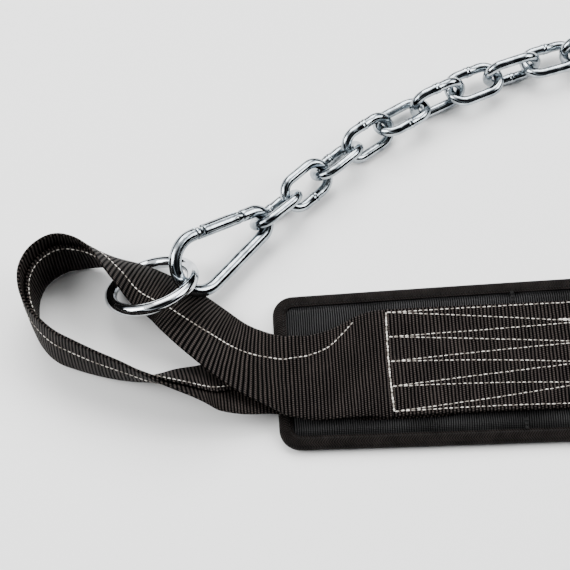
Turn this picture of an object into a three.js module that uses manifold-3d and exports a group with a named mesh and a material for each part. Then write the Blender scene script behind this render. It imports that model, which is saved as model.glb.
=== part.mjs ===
// A padded weightlifting dip belt, lying flat: pad, wide webbing with a folded loop at each end,
// two steel rings, a spring snap hook and a welded chain. Millimetres, +Z up, X along the belt.
import * as THREE from "three";
import { mergeVertices } from "three/addons/utils/BufferGeometryUtils.js";
import Module from "manifold-3d";

// Pad
const padLength = 600;
const padWidth = 111;
const padEndWidth = 103;
const padThickness = 8;
const padCornerRadius = 13;
const padEdgeThickness = 3.4;
const padShoulder = 6;
// Binding tape round the pad's edge
const bindingWidth = 8;
const bindingThickness = 1.1;
// Webbing, and the loop that each of its ends makes
const webbingWidth = 71;
const webbingThickness = 2;
const foldGap = 0.7;
const loopReach = 146;
const sewnLength = 115;
const stitchedFrom = 68;
const bandRamp = 12;
// Rings
const ringWire = 7.5;
const ringBore = 45;
const ringTilt = 34.1;
const ringTurn = 115.7;
// Snap hook
const hookLength = 80;
const hookWire = 8;
const wideRadius = 17.5;
const narrowRadius = 8.5;
const gateLength = 30;
const gateStart = 2;
const gateDiameter = 8.4;
const forkPlate = 2.6;
const pinDiameter = 2.6;
const noseLength = 5;
const headLength = 2.4;
const headDrop = 1.2;
const rooting = 2;
const hookHeading = 38.6;
const hookSlope = 9;
const hookRoll = 43;
// Chain
const linkWire = 6.3;
const linkPitch = 27.6;
const linkBore = 12.9;
const chainLift = 10;
const linkSag = 1.3;
const chainPoints = [
  [-222, 167],
  [-126, 208],
  [0, 228],
  [140, 210],
  [258, 160],
];
// Clearances
const seat = 0.3;
const running = 0.4;

const degree = Math.PI / 180;
const up = new THREE.Vector3(0, 0, 1);
const foldRadius = (webbingThickness + foldGap) / 2;
const padEnd = padLength / 2;
const returnHeight = padThickness + seat + webbingThickness / 2;
const frontHeight = returnHeight + webbingThickness + seat;

const cloth = new THREE.MeshStandardMaterial({ color: 0x2a2422, roughness: 0.85, metalness: 0 });
const nylon = new THREE.MeshStandardMaterial({ color: 0x23262b, roughness: 0.5, metalness: 0 });
const tape = new THREE.MeshStandardMaterial({ color: 0x201b1a, roughness: 0.9, metalness: 0 });
const polished = new THREE.MeshStandardMaterial({ color: 0xc9ccd0, roughness: 0.15, metalness: 1 });
const zinc = new THREE.MeshStandardMaterial({ color: 0xc4c9cf, roughness: 0.25, metalness: 1 });

const wasm = await Module();
wasm.setup();

function vector(x, y, z = 0) {
  return new THREE.Vector3(x, y, z);
}

// Turns a shape's faces outwards, whichever way round its sections were given.
function outward(geometry) {
  const p = geometry.getAttribute("position");
  const index = geometry.index.array;
  const [a, b, c] = [vector(0, 0), vector(0, 0), vector(0, 0)];
  let volume = 0;
  for (let i = 0; i < index.length; i += 3) {
    a.fromBufferAttribute(p, index[i]);
    b.fromBufferAttribute(p, index[i + 1]);
    c.fromBufferAttribute(p, index[i + 2]);
    volume += a.dot(b.cross(c));
  }
  if (volume < 0) {
    for (let i = 0; i < index.length; i += 3) {
      [index[i + 1], index[i + 2]] = [index[i + 2], index[i + 1]];
    }
  }
  geometry.computeVertexNormals();
  return geometry;
}

// Skins a list of rings of points. An open loft is closed at both ends by the flat outline given.
function loft(rings, outline = null) {
  const count = rings[0].length;
  const points = rings.flat();
  const index = [];
  const spans = outline ? rings.length - 1 : rings.length;
  for (let i = 0; i < spans; i++) {
    const here = i * count;
    const next = ((i + 1) % rings.length) * count;
    for (let j = 0; j < count; j++) {
      const k = (j + 1) % count;
      index.push(here + j, next + j, next + k, here + j, next + k, here + k);
    }
  }
  if (outline) {
    const last = (rings.length - 1) * count;
    const clockwise = THREE.ShapeUtils.isClockWise(outline);
    for (const [a, d, e] of THREE.ShapeUtils.triangulateShape(outline, [])) {
      const [b, c] = clockwise ? [e, d] : [d, e];
      index.push(a, b, c, last + a, last + c, last + b);
    }
  }
  const geometry = new THREE.BufferGeometry().setFromPoints(points);
  geometry.setIndex(index);
  return outward(geometry);
}

function circle(radius, sides) {
  return Array.from({ length: sides }, (_, i) => {
    const angle = ((i + 0.5) / sides) * 2 * Math.PI;
    return new THREE.Vector2(radius * Math.cos(angle), radius * Math.sin(angle));
  });
}

// A round wire along flat points in the XY plane, each with its direction in degrees.
function bentWire(points, diameter, sides, closed) {
  const outline = circle(diameter / 2 / Math.cos(Math.PI / sides / 2), sides);
  const rings = points.map(({ x, y, heading }) =>
    outline.map((p) => vector(x - p.x * Math.sin(heading), y + p.x * Math.cos(heading), p.y)),
  );
  return loft(rings, closed ? null : outline);
}

function arcPoints(cx, cy, radius, from, to, steps) {
  return Array.from({ length: steps + 1 }, (_, i) => {
    const angle = from + ((to - from) * i) / steps;
    const turn = Math.sign(to - from) * 90 * degree;
    return {
      x: cx + radius * Math.cos(angle),
      y: cy + radius * Math.sin(angle),
      heading: angle + turn,
    };
  });
}

// Booleans
function solid(geometry) {
  const plain = geometry.clone();
  plain.deleteAttribute("normal");
  plain.deleteAttribute("uv");
  const merged = mergeVertices(plain, 1e-4);
  return new wasm.Manifold(
    new wasm.Mesh({
      numProp: 3,
      vertProperties: merged.attributes.position.array,
      triVerts: new Uint32Array(merged.index.array),
    }),
  );
}

function shape(manifold) {
  const mesh = manifold.getMesh();
  const geometry = new THREE.BufferGeometry();
  geometry.setAttribute("position", new THREE.BufferAttribute(mesh.vertProperties, 3));
  geometry.setIndex(new THREE.BufferAttribute(mesh.triVerts, 1));
  geometry.computeVertexNormals();
  return geometry;
}

function block(x0, x1, y0, y1, z0, z1) {
  const geometry = new THREE.BoxGeometry(x1 - x0, y1 - y0, z1 - z0);
  return solid(geometry.translate((x0 + x1) / 2, (y0 + y1) / 2, (z0 + z1) / 2));
}

function crossPin(x, diameter, length) {
  const geometry = new THREE.CylinderGeometry(diameter / 2, diameter / 2, length, 16);
  return geometry.rotateX(Math.PI / 2).translate(x, 0, 0);
}

const belt = new THREE.Group();

function addPart(parent, name, geometry, material) {
  const mesh = new THREE.Mesh(geometry, material);
  mesh.name = name;
  parent.add(mesh);
  return mesh;
}

// The pad's outline in plan, moved in from its outer edge. Its long sides bow out a little.
function padOutline(inset) {
  const radius = Math.max(padCornerRadius - inset, 1);
  const x = padLength / 2 - inset - radius;
  const y = padEndWidth / 2 - inset - radius;
  const bow = (padWidth - padEndWidth) / 2;
  const corner = (cx, cy, from) =>
    arcPoints(cx, cy, radius, from * degree, (from + 90) * degree, 5);
  const side = (sign) =>
    [-0.75, -0.5, -0.25, 0, 0.25, 0.5, 0.75].map((share) => ({
      x: -sign * share * x,
      y: sign * (y + radius + bow * Math.cos((share * Math.PI) / 2)),
    }));
  return [
    ...corner(x, y, 0),
    ...side(1),
    ...corner(-x, y, 90),
    ...corner(-x, -y, 180),
    ...side(-1),
    ...corner(x, -y, 270),
  ];
}

// Pad and binding
function makePad() {
  const middle = padThickness / 2;
  const edge = padEdgeThickness / 2;
  const rim = bindingThickness + seat;
  const lip = bindingWidth + running;
  const profile = [
    [lip + padShoulder, 0],
    [lip + padShoulder / 4, middle / 8],
    [lip, middle - edge],
    [rim, middle - edge],
    [rim, middle + edge],
    [lip, middle + edge],
    [lip + padShoulder / 4, padThickness - middle / 8],
    [lip + padShoulder, padThickness],
  ];
  const rings = profile.map(([inset, z]) => padOutline(inset).map((p) => vector(p.x, p.y, z)));
  const cap = padOutline(lip + padShoulder).map((p) => new THREE.Vector2(p.x, p.y));
  addPart(belt, "pad_body", loft(rings, cap), nylon);
}

function makeBinding() {
  const middle = padThickness / 2;
  const inner = padEdgeThickness / 2 + seat;
  const outer = inner + bindingThickness;
  const round = bindingThickness * 1.3;
  const section = [
    [bindingWidth, -outer],
    [round, -outer],
    [0, -outer + round],
    [0, outer - round],
    [round, outer],
    [bindingWidth, outer],
    [bindingWidth, inner],
    [bindingThickness + round / 3, inner],
    [bindingThickness, inner - round / 3],
    [bindingThickness, round / 3 - inner],
    [bindingThickness + round / 3, -inner],
    [bindingWidth, -inner],
  ];
  const lines = section.map(([inset, z]) => padOutline(inset).map((p) => vector(p.x, p.y, middle + z)));
  const rings = lines[0].map((_, i) => lines.map((line) => line[i]));
  addPart(belt, "pad_binding", loft(rings), tape);
}

// The webbing on the middle of the pad. Its ends lie on the loops' sewn-in ends.
function makeBand() {
  const end = padEnd - stitchedFrom - seat;
  const sewnEnd = padEnd - stitchedFrom - sewnLength - running;
  const half = webbingThickness / 2;
  const line = [
    [-end, frontHeight],
    [-sewnEnd, frontHeight],
    [-sewnEnd + bandRamp, returnHeight],
    [sewnEnd - bandRamp, returnHeight],
    [sewnEnd, frontHeight],
    [end, frontHeight],
  ];
  const outline = [
    ...line.map(([x, z]) => new THREE.Vector2(x, z - half)),
    ...line.toReversed().map(([x, z]) => new THREE.Vector2(x, z + half)),
  ];
  const geometry = new THREE.ExtrudeGeometry(new THREE.Shape(outline), {
    depth: webbingWidth,
    bevelEnabled: false,
  });
  geometry.rotateX(Math.PI / 2).translate(0, webbingWidth / 2, 0);
  addPart(belt, "webbing_band", geometry, cloth);
}

// The loop's fold line. along: share of the loop's reach outwards from the pad's end.
// across: share of half the webbing's width. lift: share of the webbing's width above the seat,
// which is the floor (0), the pad's top (1) or the webbing on it (2). roll: the wall's turn in
// degrees from lying face up. flap: share of the webbing folded over. fold: the fold's angle.
// curl: the angle that the wall is bowed through.
const loopRows = [
  { along: -0.466, across: 0.962, seatOn: 2, lift: 0, roll: 0, flap: 0.014, fold: 30, curl: 0 },
  { along: -0.44, across: 0.962, seatOn: 2, lift: 0, roll: 0, flap: 0.014, fold: 30, curl: 0 },
  { along: -0.363, across: 0.94, seatOn: 2, lift: 0, roll: 0, flap: 0.03, fold: 60, curl: 0 },
  { along: -0.288, across: 0.73, seatOn: 2, lift: 0.001, roll: 0, flap: 0.14, fold: 178, curl: 0 },
  { along: -0.219, across: 0.55, seatOn: 2, lift: 0.002, roll: 0, flap: 0.23, fold: 180, curl: 0 },
  { along: -0.137, across: 0.485, seatOn: 2, lift: 0.006, roll: 0, flap: 0.28, fold: 180, curl: 0 },
  { along: -0.068, across: 0.495, seatOn: 2, lift: 0.014, roll: 2, flap: 0.32, fold: 180, curl: 4 },
  { along: -0.02, across: 0.49, seatOn: 2, lift: 0.03, roll: 6, flap: 0.36, fold: 180, curl: 8 },
  { along: 0.103, across: 0.72, seatOn: 2, lift: 0.03, roll: 8, flap: 0.405, fold: 180, curl: 14 },
  { along: 0.212, across: 1.21, seatOn: 0, lift: 0.075, roll: 8, flap: 0.43, fold: 180, curl: 22 },
  { along: 0.336, across: 1.66, seatOn: 0, lift: 0.05, roll: 12, flap: 0.47, fold: 180, curl: 44 },
  { along: 0.404, across: 1.83, seatOn: 0, lift: 0.08, roll: 16, flap: 0.48, fold: 180, curl: 54 },
  { along: 0.5, across: 2.0, seatOn: 0, lift: 0.14, roll: 17, flap: 0.48, fold: 180, curl: 56 },
  { along: 0.589, across: 2.14, seatOn: 0, lift: 0.15, roll: 38, flap: 0.47, fold: 180, curl: 46 },
  { along: 0.685, across: 2.27, seatOn: 0, lift: 0.09, roll: 64, flap: 0.455, fold: 180, curl: 30 },
  { along: 0.774, across: 2.33, seatOn: 0, lift: 0.044, roll: 84, flap: 0.445, fold: 180, curl: 14 },
  { along: 0.87, across: 2.27, seatOn: 0, lift: 0.044, roll: 95, flap: 0.445, fold: 180, curl: 8 },
  { along: 0.949, across: 2.04, seatOn: 0, lift: 0.044, roll: 99, flap: 0.445, fold: 180, curl: 6 },
  { along: 0.99, across: 1.73, seatOn: 0, lift: 0.044, roll: 100, flap: 0.445, fold: 180, curl: 6 },
  { along: 1, across: 1.39, seatOn: 0, lift: 0.044, roll: 98, flap: 0.445, fold: 180, curl: 6 },
  { along: 0.99, across: 1.03, seatOn: 0, lift: 0.044, roll: 94, flap: 0.445, fold: 180, curl: 8 },
  { along: 0.952, across: 0.69, seatOn: 0, lift: 0.044, roll: 90, flap: 0.445, fold: 180, curl: 10 },
  { along: 0.897, across: 0.45, seatOn: 0, lift: 0.044, roll: 89, flap: 0.445, fold: 180, curl: 12 },
  { along: 0.822, across: 0.3, seatOn: 0, lift: 0.044, roll: 91, flap: 0.445, fold: 180, curl: 14 },
  { along: 0.726, across: 0.16, seatOn: 0, lift: 0.044, roll: 95, flap: 0.445, fold: 180, curl: 16 },
  { along: 0.623, across: 0.04, seatOn: 0, lift: 0.044, roll: 99, flap: 0.445, fold: 180, curl: 16 },
  { along: 0.514, across: -0.04, seatOn: 0, lift: 0.044, roll: 107, flap: 0.44, fold: 180, curl: 14 },
  { along: 0.411, across: -0.08, seatOn: 0, lift: 0.044, roll: 118, flap: 0.425, fold: 180, curl: 10 },
  { along: 0.322, across: -0.02, seatOn: 0, lift: 0.045, roll: 132, flap: 0.4, fold: 180, curl: 6 },
  { along: 0.247, across: 0.1, seatOn: 0, lift: 0.052, roll: 146, flap: 0.36, fold: 180, curl: 4 },
  { along: 0.151, across: 0.33, seatOn: 0, lift: 0.108, roll: 163, flap: 0.28, fold: 180, curl: 2 },
  { along: 0.021, across: 0.68, seatOn: 1, lift: 0.028, roll: 177, flap: 0.16, fold: 179, curl: 0 },
  { along: -0.075, across: 0.92, seatOn: 1, lift: 0.013, roll: 180, flap: 0.05, fold: 20, curl: 0 },
  { along: -0.18, across: 0.962, seatOn: 1, lift: 0, roll: 180, flap: 0.014, fold: 30, curl: 0 },
  { along: -0.7, across: 0.962, seatOn: 1, lift: 0, roll: 180, flap: 0.014, fold: 30, curl: 0 },
];
const seats = [0, returnHeight, frontHeight];

// One bend of a section's line: an arc of the given length that turns by an angle.
function bend({ w, n, heading }, length, turn) {
  const chord = turn ? (length * Math.sin(turn / 2)) / (turn / 2) : length;
  const along = heading + turn / 2;
  return { w: w + chord * Math.cos(along), n: n + chord * Math.sin(along), heading: heading + turn };
}

// The folded webbing's section, as an outline in the wall's own plane: the wall from its free
// edge to the fold, the fold's arc, and the flap that lies on the wall.
function foldedSection({ flap: flapShare, fold, curl }) {
  const flap = flapShare * webbingWidth;
  const wall = webbingWidth - flap;
  const bow = curl * degree;
  const turn = Math.min(fold * degree, (flap * 0.9) / foldRadius);
  const flat = flap - turn * foldRadius;
  let at = { w: 0, n: 0, heading: bow / 2 };
  const line = [{ ...at, heading: at.heading + Math.PI }];
  for (let i = 0; i < 4; i++) {
    at = bend(at, wall / 4, -bow / 4);
    line.unshift({ ...at, heading: at.heading + Math.PI });
  }
  at = { w: 0, n: 0, heading: bow / 2 + Math.PI };
  for (let i = 0; i < 4; i++) {
    at = bend(at, (turn * foldRadius) / 4, -turn / 4);
    line.push(at);
  }
  for (let i = 0; i < 3; i++) {
    at = bend(at, flat / 3, (-bow * flat) / wall / 3);
    line.push(at);
  }
  const half = webbingThickness / 2;
  const offset = (by) => (p) =>
    new THREE.Vector2(p.w + by * Math.sin(p.heading), p.n - by * Math.cos(p.heading));
  return [...line.map(offset(-half)), ...line.toReversed().map(offset(half))];
}

function loopPath() {
  const points = loopRows.map(({ along, across, seatOn, lift, roll }) => {
    const x = -padEnd - along * loopReach;
    const y = (across * webbingWidth) / 2;
    return vector(x, y, seats[seatOn] + lift * webbingWidth);
  });
  return new THREE.CatmullRomCurve3(points, false, "catmullrom", 0.5);
}

function makeLoop(name, side) {
  const path = loopPath();
  const sections = loopRows.map(foldedSection);
  const rings = loopRows.map(({ roll }, i) => {
    const share = i / (loopRows.length - 1);
    const at = path.getPoint(share);
    const ahead = path.getTangent(share);
    const out = vector(0, 0).crossVectors(ahead, up).normalize();
    const top = vector(0, 0).crossVectors(out, ahead);
    const [c, s] = [Math.cos(roll * degree), Math.sin(roll * degree)];
    const wide = out.clone().multiplyScalar(-c).addScaledVector(top, s);
    const face = top.clone().multiplyScalar(c).addScaledVector(out, s);
    return sections[i].map((p) => {
      const q = at.clone().addScaledVector(wide, p.x).addScaledVector(face, p.y);
      return vector(-side * q.x, q.y, q.z);
    });
  });
  const first = sections[0];
  addPart(belt, name, loft(rings, first), cloth);
}

// Rings. The left one's place follows the loop: shares of its reach and of half the webbing.
const ringRadius = (ringBore + ringWire) / 2;
const ringPlace = { along: 0.499, across: 1.597 };
const ringNormal = vector(
  Math.sin(ringTilt * degree) * Math.cos(ringTurn * degree),
  Math.sin(ringTilt * degree) * Math.sin(ringTurn * degree),
  Math.cos(ringTilt * degree),
);
const ringCentre = vector(
  -padEnd - ringPlace.along * loopReach,
  (ringPlace.across * webbingWidth) / 2,
  ringRadius * Math.sin(ringTilt * degree) + ringWire / 2 + seat,
);

function makeRing(name, side) {
  const geometry = new THREE.TorusGeometry(ringRadius, ringWire / 2, 8, 24);
  const mesh = addPart(belt, name, geometry, polished);
  const normal = vector(-side * ringNormal.x, ringNormal.y, ringNormal.z);
  mesh.quaternion.setFromUnitVectors(up, normal);
  mesh.position.set(-side * ringCentre.x, ringCentre.y, ringCentre.z);
}

// A point on the left ring's wire, at an angle from the end that points along the belt.
function ringPoint(angle) {
  const level = vector(1, 0, 0).projectOnPlane(ringNormal).normalize();
  const away = vector(0, 0).crossVectors(ringNormal, level);
  return ringCentre
    .clone()
    .addScaledVector(level, ringRadius * Math.cos(angle * degree))
    .addScaledVector(away, ringRadius * Math.sin(angle * degree));
}

// Snap hook, in its own plane: X from the wide end's centre to the narrow end's, gate on +Y.
const centreDistance = hookLength - wideRadius - narrowRadius - hookWire;
const taper = Math.asin((wideRadius - narrowRadius) / centreDistance);
const armLength = centreDistance * Math.cos(taper);
const gateEnd = gateStart + gateLength;
const cheek = gateDiameter / 2;

// A point at a distance along the gate side, from where the wide bend ends.
function gateLine(distance) {
  return {
    x: wideRadius * Math.sin(taper) + distance * Math.cos(taper),
    y: wideRadius * Math.cos(taper) - distance * Math.sin(taper),
    heading: -taper,
  };
}

function onGateLine(manifold) {
  const { x, y } = gateLine(0);
  return manifold.rotate([0, 0, -taper / degree]).translate([x, y, 0]);
}

function hookBody() {
  const high = 90 * degree - taper;
  const back = { ...gateLine(gateStart), heading: Math.PI - taper };
  const wide = arcPoints(0, 0, wideRadius, high, 2 * Math.PI - high, 14);
  const narrow = arcPoints(centreDistance, 0, narrowRadius, -high, high, 9);
  const front = { ...gateLine(gateEnd + cheek + running), heading: Math.PI - taper };
  const wire = solid(bentWire([back, ...wide, ...narrow, front], hookWire, 10, false));
  const plate = forkPlate / 2;
  const tongueTip = gateEnd - cheek * 0.7;
  const tongue = block(tongueTip, gateEnd + cheek + rooting, -cheek * 0.7, cheek * 0.7, -plate, plate);
  const noseTip = gateStart + noseLength;
  const nose = block(gateStart - rooting, noseTip, -hookWire * 0.38, hookWire * 0.38, -plate, plate);
  const head = block(
    noseTip - headLength,
    noseTip,
    -headDrop,
    hookWire * 0.38,
    -hookWire * 0.41,
    hookWire * 0.41,
  );
  const hole = solid(crossPin(gateEnd, pinDiameter + 2 * seat, hookWire * 2));
  const fittings = onGateLine(tongue.subtract(hole).add(nose).add(head));
  return shape(wire.add(fittings));
}

function hookGate() {
  const start = gateStart + running;
  const length = gateEnd - start;
  const bar = new THREE.CylinderGeometry(cheek, cheek, length + cheek, 14);
  bar.rotateZ(Math.PI / 2).translate(start + (length + cheek) / 2, 0, 0);
  const plan = new THREE.Shape();
  plan.moveTo(start, -cheek * 1.1);
  plan.lineTo(gateEnd, -cheek);
  plan.absarc(gateEnd, 0, cheek, -Math.PI / 2, Math.PI / 2, false);
  plan.lineTo(start, cheek * 1.1);
  const depth = gateDiameter * 1.2;
  const rounded = new THREE.ExtrudeGeometry(plan, { depth, bevelEnabled: false, curveSegments: 8 });
  rounded.translate(0, 0, -depth / 2);
  const slot = forkPlate / 2 + running;
  const far = gateDiameter;
  const noseTip = gateStart + noseLength;
  const noseSlot = block(start - 2 * running, noseTip + 3.5 * running, -far, far, -slot, slot);
  const pocket = block(
    noseTip - headLength - running,
    noseTip + 2 * running,
    -headDrop - running,
    far,
    -far,
    far,
  );
  const fork = block(gateEnd - cheek - running, gateEnd + far, -far, far, -slot, slot);
  const hole = solid(crossPin(gateEnd, pinDiameter + 2 * seat, hookWire * 2));
  const cut = noseSlot.add(pocket).add(fork).add(hole);
  return shape(onGateLine(solid(bar).intersect(solid(rounded)).subtract(cut)));
}

const hook = new THREE.Group();
hook.rotation.set(hookRoll * degree, hookSlope * degree, hookHeading * degree, "ZYX");
hook.updateMatrix();
const hookAxis = vector(1, 0, 0).transformDirection(hook.matrix);
const hookSide = vector(0, 1, 0).transformDirection(hook.matrix);

function makeHook() {
  const hold = wideRadius - (hookWire + ringWire) / 2 - 6 * running;
  hook.position.copy(ringPoint(hookOnRing));
  hook.position.addScaledVector(hookAxis, hold).addScaledVector(hookSide, hookLift);
  const pin = crossPin(0, pinDiameter, gateDiameter - 2 * seat);
  const { x, y } = gateLine(gateEnd);
  addPart(hook, "carabiner_body", hookBody(), zinc);
  addPart(hook, "carabiner_gate", hookGate(), zinc);
  addPart(hook, "gate_pin", pin.translate(x, y, 0), polished);
  belt.add(hook);
}

// Chain. The route's points are chosen by hand: the loose arc that the chain lies in.
const hookOnRing = 9;
const hookLift = 2.2;
const linkOnRing = 18;
const firstRolls = [52, -42, 44, -54, 25, 101, -2, -88, 10, -72, 28, -52];

function linkShape() {
  const radius = (linkBore + linkWire) / 2;
  const half = linkPitch / 2 - linkBore / 2;
  const right = arcPoints(half, 0, radius, -90 * degree, 90 * degree, 6);
  const left = arcPoints(-half, 0, radius, 90 * degree, 270 * degree, 6);
  return bentWire([...right, ...left], linkWire, 6, true);
}

function chainRoute() {
  const tip = hook.position.clone().addScaledVector(hookAxis, centreDistance + narrowRadius);
  const end = ringPoint(linkOnRing);
  end.x = -end.x;
  const route = [tip, ...chainPoints.map(([x, y]) => vector(x, y, chainLift)), end];
  return new THREE.CatmullRomCurve3(route, false, "centripetal");
}

function makeChain() {
  const route = chainRoute();
  const length = route.getLength();
  const first = linkPitch / 2 - hookWire / 2 - 3 * seat;
  const last = length - (linkPitch / 2 - ringWire / 2 - 5 * seat);
  const pairs = Math.ceil(((last - first) / (linkPitch - 2.5 * seat) + 1) / 2);
  const count = 2 * pairs;
  const spacing = (last - first) / (count - 1);
  const reach = (linkBore + linkWire) / 2;
  const rollOf = (i) => (firstRolls[i] ?? (i % 2 ? -45 : 45)) * degree;
  const restOf = (i) => reach * Math.abs(Math.sin(rollOf(i))) + linkWire / 2;
  const geometry = linkShape();
  for (let i = 0; i < count; i++) {
    const middle = first + i * spacing;
    const half = Math.min(spacing / 2, middle, length - middle);
    const from = route.getPointAt((middle - half) / length);
    const to = route.getPointAt((middle + half) / length);
    const ahead = to.clone().sub(from).normalize();
    const beside = vector(0, 0).crossVectors(up, ahead).normalize();
    const above = vector(0, 0).crossVectors(ahead, beside);
    const [c, s] = [Math.cos(rollOf(i)), Math.sin(rollOf(i))];
    const normal = above.clone().multiplyScalar(c).addScaledVector(beside, s);
    const wide = vector(0, 0).crossVectors(normal, ahead);
    const name = "chain_link_" + String(i + 1).padStart(2, "0");
    const link = addPart(belt, name, geometry, zinc);
    link.quaternion.setFromRotationMatrix(new THREE.Matrix4().makeBasis(ahead, wide, normal));
    link.position.copy(from).add(to).multiplyScalar(0.5);
    const carried = Math.max(restOf(i - 1), restOf(i + 1)) - linkSag;
    link.position.z = Math.max(link.position.z, restOf(i), carried);
  }
}

makePad();
makeBinding();
makeBand();
makeLoop("left_loop", -1);
makeLoop("right_loop", 1);
makeRing("left_ring", -1);
makeRing("right_ring", 1);
makeHook();
makeChain();

// The origin is under the middle of the whole belt, on the surface that it lies on.
const box = new THREE.Box3().setFromObject(belt, true);
const middle = box.getCenter(vector(0, 0));
belt.position.set(-middle.x, -middle.y, -box.min.z);
const group = new THREE.Group();
group.add(belt);

export default group;
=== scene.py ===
import math
import random

import bmesh
import bpy
import numpy as np
from mathutils import Matrix, Vector


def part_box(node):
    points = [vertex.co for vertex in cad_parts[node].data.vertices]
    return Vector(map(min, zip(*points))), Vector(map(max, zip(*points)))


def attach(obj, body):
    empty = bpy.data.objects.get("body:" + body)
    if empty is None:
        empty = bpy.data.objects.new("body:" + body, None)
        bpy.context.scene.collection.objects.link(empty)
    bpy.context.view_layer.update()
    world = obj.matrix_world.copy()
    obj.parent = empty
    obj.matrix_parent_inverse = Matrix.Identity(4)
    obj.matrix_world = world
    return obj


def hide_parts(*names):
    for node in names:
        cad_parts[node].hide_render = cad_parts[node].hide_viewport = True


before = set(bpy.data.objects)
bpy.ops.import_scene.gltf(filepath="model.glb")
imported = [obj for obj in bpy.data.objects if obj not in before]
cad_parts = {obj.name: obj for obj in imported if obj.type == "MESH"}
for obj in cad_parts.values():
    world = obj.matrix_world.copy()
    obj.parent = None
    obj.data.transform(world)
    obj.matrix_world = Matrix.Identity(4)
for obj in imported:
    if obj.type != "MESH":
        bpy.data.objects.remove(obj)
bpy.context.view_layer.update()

bpy.ops.object.select_all(action="DESELECT")
random.seed(7)
mm = 0.001
up = Vector((0, 0, 1))
# Sizes below are measured from the pad's middle, and this moves them under the whole belt's middle.
beltShift = Vector((0, -91.147, 0.290)) * mm


# Colours and nodes
def linearColour(code):
    parts = [int(code[i : i + 2], 16) / 255 for i in (0, 2, 4)]
    curved = [c / 12.92 if c <= 0.04045 else ((c + 0.055) / 1.055) ** 2.4 for c in parts]
    return (*curved, 1)


# A setting with a capital letter or a number is an input, the others are the node's own options.
def addNode(tree, kind, settings=(), links=()):
    node = tree.nodes.new(kind)
    for key, value in dict(settings).items():
        if isinstance(key, int) or key[0].isupper():
            node.inputs[key].default_value = value
        else:
            setattr(node, key, value)
    for key, source in dict(links).items():
        tree.links.new(source, node.inputs[key])
    return node.outputs[0]


def startMaterial(name, sockets):
    material = bpy.data.materials.new(name)
    material.use_nodes = True
    tree = material.node_tree
    shader = tree.nodes["Principled BSDF"]
    for key, value in sockets.items():
        shader.inputs[key].default_value = value
    return material, tree, shader


def ramp(tree, source, stops):
    output = addNode(tree, "ShaderNodeValToRGB", links={0: source})
    bar = output.node.color_ramp
    while len(bar.elements) < len(stops):
        bar.elements.new(0.5)
    for element, (place, colour) in zip(bar.elements, stops):
        element.position = place
        element.color = linearColour(colour)
    return output


def sums(tree, operation, first, second=None):
    settings, links = {"operation": operation}, {}
    for slot, value in enumerate((first, second)):
        if isinstance(value, (int, float)):
            settings[slot] = value
        elif value is not None:
            links[slot] = value
    return addNode(tree, "ShaderNodeMath", settings, links)


def bumped(tree, shader, height, distance, strength=1.0):
    normal = addNode(
        tree, "ShaderNodeBump", {"Strength": strength, "Distance": distance}, {"Height": height}
    )
    tree.links.new(normal, shader.inputs["Normal"])


def noise(tree, place, scale, detail):
    settings = {"Scale": scale, "Detail": detail}
    return addNode(tree, "ShaderNodeTexNoise", settings, {"Vector": place})


def sine(tree, source, rate):
    return sums(tree, "SINE", sums(tree, "MULTIPLY", source, rate))


# Noise that moves a value both ways by up to half the reach.
def drifted(tree, source, wander, reach):
    return sums(tree, "ADD", source, sums(tree, "MULTIPLY", sums(tree, "SUBTRACT", wander, 0.5), reach))


# Cloth takes its colour from the height of its ribs, as painted light: shade is painted black into
# the gaps and the crowns are painted lighter. Only the crowns shine, so the gaps stay black.
def finishCloth(tree, shader, look, lit, height):
    tree.links.new(ramp(tree, lit, look["shades"]), shader.inputs["Base Color"])
    shine = sums(tree, "MULTIPLY", lit, look["shine"])
    tree.links.new(shine, shader.inputs["Specular IOR Level"])
    bumped(tree, shader, height, look["bump"])


# Heavy polyester webbing, plain-woven over thick filling yarns: rounded ribs, matt, with a little
# brown in the black and odd ribs that catch more light. Shade is painted black into the gaps between
# the ribs and highlight is painted onto the crowns.
webbingLook = {
    "rib": 2.2 * mm,
    "yarn": 1.3 * mm,
    "drift": 0.9 * mm,
    "rounding": 0.55,
    "ridge": 1.6,
    "warpHeight": 0.2,
    "warpPaintedLight": 0.24,
    "streakTone": 0.35,
    "plainTone": 0.62,
    "wearTone": 0.3,
    "shades": [(0.25, "000000"), (0.55, "060403"), (1, "3c332f")],
    "roughness": 0.66,
    "shine": 0.27,
    "bump": 0.7 * mm,
}


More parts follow.
